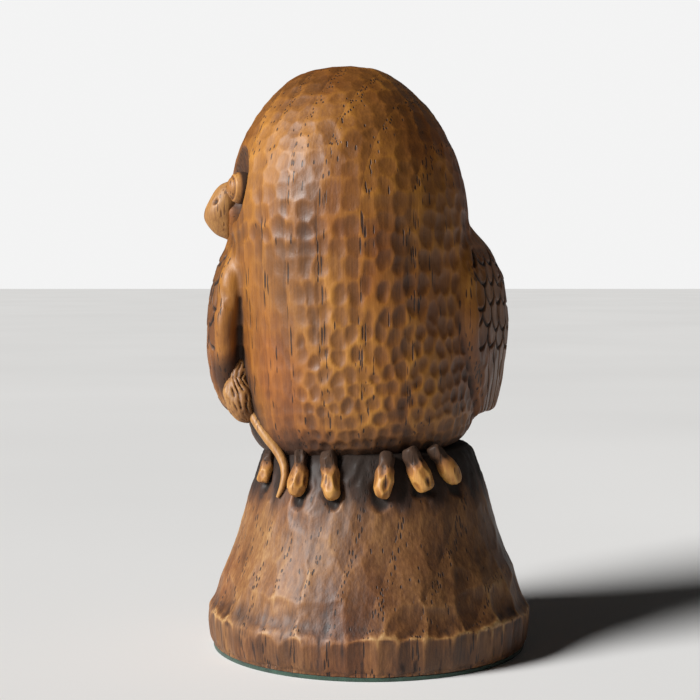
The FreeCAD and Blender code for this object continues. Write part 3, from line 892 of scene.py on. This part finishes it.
def stumpScoops(stump):
    dice = random.Random(stumpCuts["seed"])
    tree = BVHTree.FromObject(stump, bpy.context.evaluated_depsgraph_get())
    aside, lift = stumpCuts["aside"], stumpCuts["lift"]
    flank, wall = [], []

    def onSurface(angle, height):
        outward = Vector((math.cos(angle), math.sin(angle), 0))
        found, normal, _, _ = tree.ray_cast((outward * 60 + Vector((0, 0, height))) * mm, -outward)
        return found / mm, normal

    for row, (height, width, tall, depth) in enumerate(stumpCuts["rows"]):
        radius = float(np.interp(height, *zip(*stumpForm["outline"][2:-1])))
        around = round(2 * math.pi * radius / width)
        for at in range(around):
            angle = 2 * math.pi * (at + 0.5 * (row % 2) + dice.uniform(-aside, aside)) / around
            found, normal = onSurface(angle, height + dice.uniform(-lift, lift))
            flank.append(layScoop(dice, stumpCuts, found, normal, width, tall, depth))
    cut = stumpCuts["wall"]
    angle = 0.0
    while angle < 2 * math.pi:
        width = cut["width"] * dice.uniform(*cut["uneven"])
        step = width / stumpForm["wallRadius"]
        found, normal = onSurface(angle + step / 2, cut["height"])
        wall.append(layScoop(dice, cut, found, normal, width * cut["overlap"], cut["tall"], cut["depth"]))
        angle += step
    return flank, wall


def toeSockets():
    form = stumpCuts["socket"]
    up = Vector((0, 0, 1))
    sockets = []
    for tip, _, girth in toeForm["toes"].values():
        out = Vector((tip[0], tip[1], 0)).normalized()
        sockets.append((Vector(tip) + (up - out) * form["lift"], out.cross(up), up,
                        form["width"] * girth, form["tall"], form["depth"]))
    return sockets


def carveStump(stump):
    skin = Skin(stump)
    flank, wall = stumpScoops(stump)
    form = stumpCuts["wall"]
    flankCut = carveScoops(skin.points, flank, stumpCuts["waver"])
    socketCut = carveScoops(skin.points, toeSockets(), stumpCuts["socket"]["waver"])
    wallCut = carveScoops(skin.points, wall)
    wallCut *= smooth01(*form["upright"], skin.normals[:, 2]) * smooth01(*form["top"], skin.points[:, 2])
    rough = (noiseAt(skin.points, stumpCuts["roughScale"]) - 0.5) * stumpCuts["rough"]
    notFlat = smooth01(0.95, 0.8, np.abs(skin.normals[:, 2]))
    skin.press((np.minimum(flankCut, wallCut) + socketCut + rough) * notFlat)
    skin.writePoints()

    skin = Skin(stump)
    x, y, z = skin.points.T
    crease = skin.dip(24)
    fine = skin.dip(5)
    angle = np.arctan2(y, x)
    upright = np.stack((angle, z, np.zeros(len(z))), axis=1)
    streak = noiseAt(upright, (9, 0.03, 0))
    paintedShade, litFlank, cracks = stumpCuts["paintedShade"], stumpCuts["litFlank"], stumpCuts["cracks"]
    # painted shade under the body, streaked, and in the toe sockets
    shaded = np.maximum(smooth01(*paintedShade["height"], z + paintedShade["streak"] * streak) * paintedShade["share"],
                         smooth01(*paintedShade["socket"], -socketCut))
    # painted highlight along the rim and on the cuts' edges, painted shade in the hollows
    rim = np.exp(-((z - stumpCuts["rim"]["height"]) / stumpCuts["rim"]["width"]) ** 2)
    wearAndLight = np.clip(0.05 - crease * 1.4 - fine * (1.5 + 8 * rim), -0.4, 0.9)
    wearAndLight *= 0.2 + 0.8 * smooth01(6, 10, z)
    # painted light on the left flank, the side towards the light
    light = smooth01(*litFlank["x"], x + litFlank["streak"] * streak)
    light *= smooth01(*litFlank["foot"], z) * smooth01(*litFlank["top"], z)
    crack = noiseAt(upright + (0, 0, 1), (cracks["around"], cracks["along"], 7))
    crack = smooth01(*cracks["edge"], crack) * smooth01(12, 9, z)
    # painted shade in the hollows and under the body, and the wall's real dark cracks
    stainAndShade = smooth01(0.2, 0.9, crease) + shaded + cracks["share"] * crack
    skin.writeTones((wearAndLight + litFlank["share"] * light) * (1 - shaded), np.clip(stainAndShade, 0, 1))
    finishPiece(stump, "stump", "stumpWood")


stump = makeStump()
carveStump(stump)
print("stump", len(stump.data.polygons), "faces")


feltForm = {"round": 0.25, "segments": 128}


def makeFelt():
    low, high = nodeBox("felt_pad")
    wide = (high.x - low.x) * mm
    bm = bmesh.new()
    place = Matrix.Translation((0, 0, (low.z + high.z) / 2 * mm))
    bmesh.ops.create_cone(bm, cap_ends=True, segments=feltForm["segments"], radius1=wide / 2,
                          radius2=wide / 2, depth=(high.z - low.z) * mm, matrix=place)
    rim = [edge for edge in bm.edges if len(edge.link_faces) == 2 and edge.calc_face_angle() > 1]
    bmesh.ops.bevel(bm, geom=rim, offset=feltForm["round"] * mm, segments=3, profile=0.5, affect="EDGES",
                    material=-1)
    felt = makePiece("feltPad", bm)
    finishPiece(felt, "felt_pad", "woolFelt")


makeFelt()
print("felt made")


# degrees from the way the eye looks, and millimetres
eyeForm = {"lidAngle": 48.0, "lidWidth": 8.0, "lidDepth": 0.26, "pupilDrop": 0.2, "shadeAngle": 76.0}


def makeEye(side, node, name):
    surface, outward = eyePlace(side)
    centre = surface - outward * faceForm["eyeSink"]
    turn = outward.to_track_quat("Z", "Y").to_matrix().to_4x4()
    full = faceForm["eyeRadius"]
    ball = ballShape(centre * mm, [full * mm] * 3, turn, 72)
    for vert in ball.verts:
        away = vert.co / mm - centre
        angle = math.degrees(away.angle(outward))
        groove = max(0.0, 1 - abs(angle - eyeForm["lidAngle"]) / eyeForm["lidWidth"])
        rim = float(smooth01(eyeForm["lidAngle"], eyeForm["lidAngle"] + 4, angle))
        radius = full - eyeForm["lidDepth"] * groove - eyeForm["pupilDrop"] * (1 - rim)
        vert.co = (centre + away.normalized() * radius) * mm
    eye = makePiece(name, ball)
    skin = Skin(eye)
    crease = skin.dip(6)
    away = skin.points - np.array(centre)
    angle = np.degrees(np.arccos(np.clip(away @ np.array(outward) / np.linalg.norm(away, axis=1), -1, 1)))
    # painted shade over the eye's back half, deep in its hollow, and in the lid's groove; painted highlight
    # on its edges
    shadedBack = smooth01(-8, 8, angle - eyeForm["shadeAngle"])
    skin.writeTones(np.clip(0.1 - crease * 3, -0.2, 0.5), np.clip(smooth01(0.02, 0.3, crease) + shadedBack, 0, 1))
    finishPiece(eye, node, "toeWood")


makeEye(1, "right_eye", "rightEye")
makeEye(-1, "left_eye", "leftEye")
print("eyes made")


beakForm = {
    # share of the way down, how far forward of the middle, half length, half width
    "hoops": [(0.0, 1.5, 0.8, 0.8), (0.05, 1.2, 2.2, 2.0), (0.16, 0.9, 3.4, 3.1), (0.32, 0.3, 4.3, 3.8),
              (0.48, -0.3, 4.9, 3.8), (0.62, -0.4, 4.9, 3.3), (0.76, 0.2, 4.1, 2.5), (0.88, 1.0, 2.9, 1.6),
              (0.96, 1.9, 1.6, 0.8), (1.0, 2.4, 0.5, 0.3)],
    "nostril": {"down": 0.34, "forward": 2.6, "aside": 2.9, "radius": 0.8, "depth": 0.6},
    # the line where the beak's two halves meet: behind the middle, its lean, width and depth
    "gape": {"back": 1.2, "lean": 0.1, "width": 0.35, "depth": 0.35, "below": (5, 8)},
    "keel": {"width": 0.9, "height": 0.45},
}


def makeBeak():
    low, high = nodeBox("beak")
    rootX = (low.x + high.x) / 2
    hoops = []
    for share, forward, long, wide in smoothLine(beakForm["hoops"], 6):
        middle = Vector((rootX + forward, 0, high.z + (low.z - high.z) * share))
        hoops.append(Matrix.Translation(middle * mm) @ Matrix.Diagonal((long * mm, wide * mm, 1, 1)))
    beak = makePiece("beak", hoopedShape(hoops, 56))
    skin = Skin(beak)
    x, y, z = skin.points.T
    nostril, gape, keel = beakForm["nostril"], beakForm["gape"], beakForm["keel"]
    holes = np.zeros(len(z))
    holeZ = high.z + (low.z - high.z) * nostril["down"]
    for side in (-1, 1):
        hole = (rootX - nostril["forward"], side * nostril["aside"], holeZ)
        away = np.linalg.norm(skin.points - np.array(hole), axis=1) / nostril["radius"]
        holes = np.maximum(holes, smooth01(1.3, 0.5, away))
    line = np.exp(-((x - rootX - gape["back"] - gape["lean"] * (z - low.z)) / gape["width"]) ** 2)
    line *= smooth01(high.z - gape["below"][0], high.z - gape["below"][1], z)
    crest = np.exp(-(y / keel["width"]) ** 2) * smooth01(rootX, rootX - 3, x)
    skin.press(keel["height"] * (crest - 0.5) - nostril["depth"] * holes - gape["depth"] * line)
    skin.writePoints()
    # painted shade in the nostrils; the gape's line is darker, and the beak darker towards the face
    skin.writeTones(0.1 - 0.3 * smooth01(rootX, rootX + 3, x), np.maximum(holes, line * 0.8))
    finishPiece(beak, "beak", "detailWood")


makeBeak()
print("beak made")


def furCut(point, away):
    # how much of the fur's cut depth one point is pushed in, and how far the surface wanders there
    waver = noise.noise_vector(point * 0.28)
    around = math.atan2(away.y, away.x) * mouseForm["furCuts"] / (2 * math.pi) + 0.7 * waver.x
    groove = max(0.0, abs((around % 1.0) - 0.5) * 2 - 0.4 - 0.3 * waver.y) / 0.6
    plain = mouseForm["plainShare"]
    broken = smooth01(-0.3, 0.02, noise.noise(point * 0.75))
    broken *= plain + (1 - plain) * smooth01(*mouseForm["plainX"], point.x)
    return groove * float(broken) * max(0.2, 0.8 + 2 * waver.y), 0.5 * waver.z


def makeMouse():
    shapes = []
    for foot, head, radius in mouseForm["eggs"]:
        foot, head = Vector(foot), Vector(head)
        middle = (foot + head) / 2
        turn = (head - foot).to_track_quat("Z", "Y").to_matrix().to_4x4()
        ball = ballShape(middle * mm, (radius * mm, radius * mm, (head - foot).length / 2 * mm), turn, 96)
        for vert in ball.verts:
            point = vert.co / mm
            cut, wander = furCut(point, turn.inverted() @ (point - middle))
            vert.co += vert.normal * mm * (wander - mouseForm["furDepth"] * cut)
        shapes.append(ball)
    mouse = makePiece("mouseBody", *shapes)
    skin = Skin(mouse)
    crease = skin.dip(5)
    # a darker tone all over, with painted shade in the fur's cuts and painted highlight on their edges
    skin.writeTones(np.clip(-0.25 - crease * 2, -0.7, 0.1), 0.7 * smooth01(0.04, 0.25, crease))
    finishPiece(mouse, "mouse_body", "detailWood")


tailForm = {
    # X, Y, Z, radius
    "line": [(-30.6, -11.0, 63.0, 1.1), (-29.6, -11.9, 61.2, 1.25), (-28.2, -13.7, 59.0, 1.35),
             (-25.7, -16.0, 55.6, 1.3), (-23.2, -17.6, 52.6, 1.25), (-21.5, -19.2, 49.6, 1.15),
             (-21.1, -20.6, 46.8, 0.95), (-21.7, -21.3, 43.9, 0.75), (-22.9, -21.3, 41.2, 0.4)],
}


def makeTail():
    line = smoothLine(tailForm["line"], 6)
    hoops = []
    for at, (x, y, z, radius) in enumerate(line):
        along = Vector(line[min(at + 1, len(line) - 1)][:3]) - Vector(line[max(at - 1, 0)][:3])
        turn = along.to_track_quat("Z", "Y").to_matrix().to_4x4()
        size = Matrix.Diagonal((radius * mm, radius * mm, 1, 1))
        hoops.append(Matrix.Translation(Vector((x, y, z)) * mm) @ turn @ size)
    tail = makePiece("mouseTail", hoopedShape(hoops, 24))
    Skin(tail).writeTones(0.15, 0.0)
    finishPiece(tail, "mouse_tail", "detailWood")


makeMouse()
makeTail()
print("mouse made")


def makeToe(node, tip, end, girth):
    tip, end = Vector(tip), Vector(end)
    line = end - tip
    dice = random.Random(node)
    profile = [(max(radius, 0.0) * girth * mm, share * line.length * mm)
               for share, radius in smoothLine(toeForm["outline"], 7)]
    toe = turnedShape(profile, 56)
    toe.transform(Matrix.Translation(tip * mm) @ line.to_track_quat("Z", "Y").to_matrix().to_4x4())
    foot, _, place, _ = node.split("_")
    piece = makePiece(foot + place.title() + "Toe", toe)
    skin = Skin(piece)
    scoops = []
    for _ in range(toeForm["facets"]):
        at = dice.randrange(len(skin.points))
        normal = Vector(skin.normals[at])
        scoops.append(layScoop(dice, toeForm, skin.points[at], normal, *toeForm["scoop"], line))
    cut = carveScoops(skin.points, scoops)
    along = (skin.points - np.array(tip)) @ np.array(line) / line.length_squared
    waist = toeForm["waist"]
    skin.press(cut - waist["depth"] * np.exp(-((along - waist["at"]) / waist["width"]) ** 2))
    skin.writePoints()
    skin = Skin(piece)
    crease = skin.dip(12)
    # painted highlight on the facets' edges, painted shade in their creases and over the end under the body
    wearAndLight = np.clip(0.15 - crease * 3, -0.3, 0.5) - 0.3 * smooth01(0.45, 0.9, along)
    dark = smooth01(*toeForm["shadedEnd"], along)
    skin.writeTones(wearAndLight, np.clip(smooth01(0.0, 0.16, crease) + dark, 0, 1))
    finishPiece(piece, node, "toeWood")


for node, dimensions in toeForm["toes"].items():
    makeToe(node, *dimensions)
print("toes made")

# the pegs stay as the frame has them, out of sight
for node in ("body_pegs", "left_wing_pegs", "right_wing_pegs"):
    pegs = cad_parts[node]
    pegs.data.materials.clear()
    pegs.data.materials.append(finishes["bareWood"])


studio = {
    "distance": 400.0, "cameraX": -4.9, "cameraZ": 98.7, "pitch": 3.16, "lens": 79.1,
    "aim": (0, 0, 85),
    "keyPlace": (-570, -335, 430), "keySpread": 24.0, "keyStrength": 5.9,
    "backPlace": (300, 380, 260), "backSize": 0.5, "backPower": 0.065,
    "floor": ("#efeeec", "#e3e2e0"), "floorSize": 6.0, "ambient": 0.008, "backdrop": 0.9,
}


def matteBoard():
    # painted board: pale, dull and very slightly uneven
    material = bpy.data.materials.new("matteBoard")
    material.use_nodes = True
    tree = material.node_tree
    shader = tree.nodes["Principled BSDF"]
    speck = addNode(tree, "ShaderNodeTexNoise", {"Scale": 40.0, "Detail": 2.0}).outputs["Fac"]
    light, dark = studio["floor"]
    colour = addNode(tree, "ShaderNodeValToRGB", {"Fac": speck}, stops=[(0.0, light), (1.0, dark)])
    tree.links.new(colour.outputs["Color"], shader.inputs["Base Color"])
    shader.inputs["Roughness"].default_value = 0.9
    return material


def makeStudio():
    scene = bpy.context.scene
    bm = bmesh.new()
    bmesh.ops.create_grid(bm, x_segments=2, y_segments=2, size=studio["floorSize"])
    floor = makePiece("floor", bm)
    floor.data.materials.append(matteBoard())

    key = bpy.data.lights.new("key", "SUN")
    key.angle, key.energy = math.radians(studio["keySpread"]), studio["keyStrength"]
    back = bpy.data.lights.new("back", "AREA")
    back.shape, back.size, back.energy = "DISK", studio["backSize"], studio["backPower"]
    for light, place in ((key, studio["keyPlace"]), (back, studio["backPlace"])):
        lamp = bpy.data.objects.new(light.name, light)
        lamp.location = Vector(place) * mm
        lamp.rotation_euler = (Vector(studio["aim"]) - Vector(place)).to_track_quat("-Z", "Y").to_euler()
        scene.collection.objects.link(lamp)

    world = bpy.data.worlds.new("studio")
    world.use_nodes = True
    tree = world.node_tree
    seen = addNode(tree, "ShaderNodeLightPath").outputs["Is Camera Ray"]
    strength = addNode(tree, "ShaderNodeMapRange", {
        "Value": seen, "To Min": studio["ambient"], "To Max": studio["backdrop"]})
    tree.links.new(strength.outputs[0], tree.nodes["Background"].inputs["Strength"])
    tree.nodes["Background"].inputs["Color"].default_value = (1, 1, 1, 1)
    scene.world = world

    scene.view_settings.view_transform = "Standard"
    camera = bpy.data.objects.new("camera", bpy.data.cameras.new("camera"))
    camera.data.lens = studio["lens"]
    camera.data.clip_start = 0.01
    camera.location = Vector((studio["cameraX"], -studio["distance"], studio["cameraZ"])) * mm
    camera.rotation_euler = (math.radians(90 - studio["pitch"]), 0, 0)
    scene.collection.objects.link(camera)
    scene.camera = camera


makeStudio()
print("studio set")
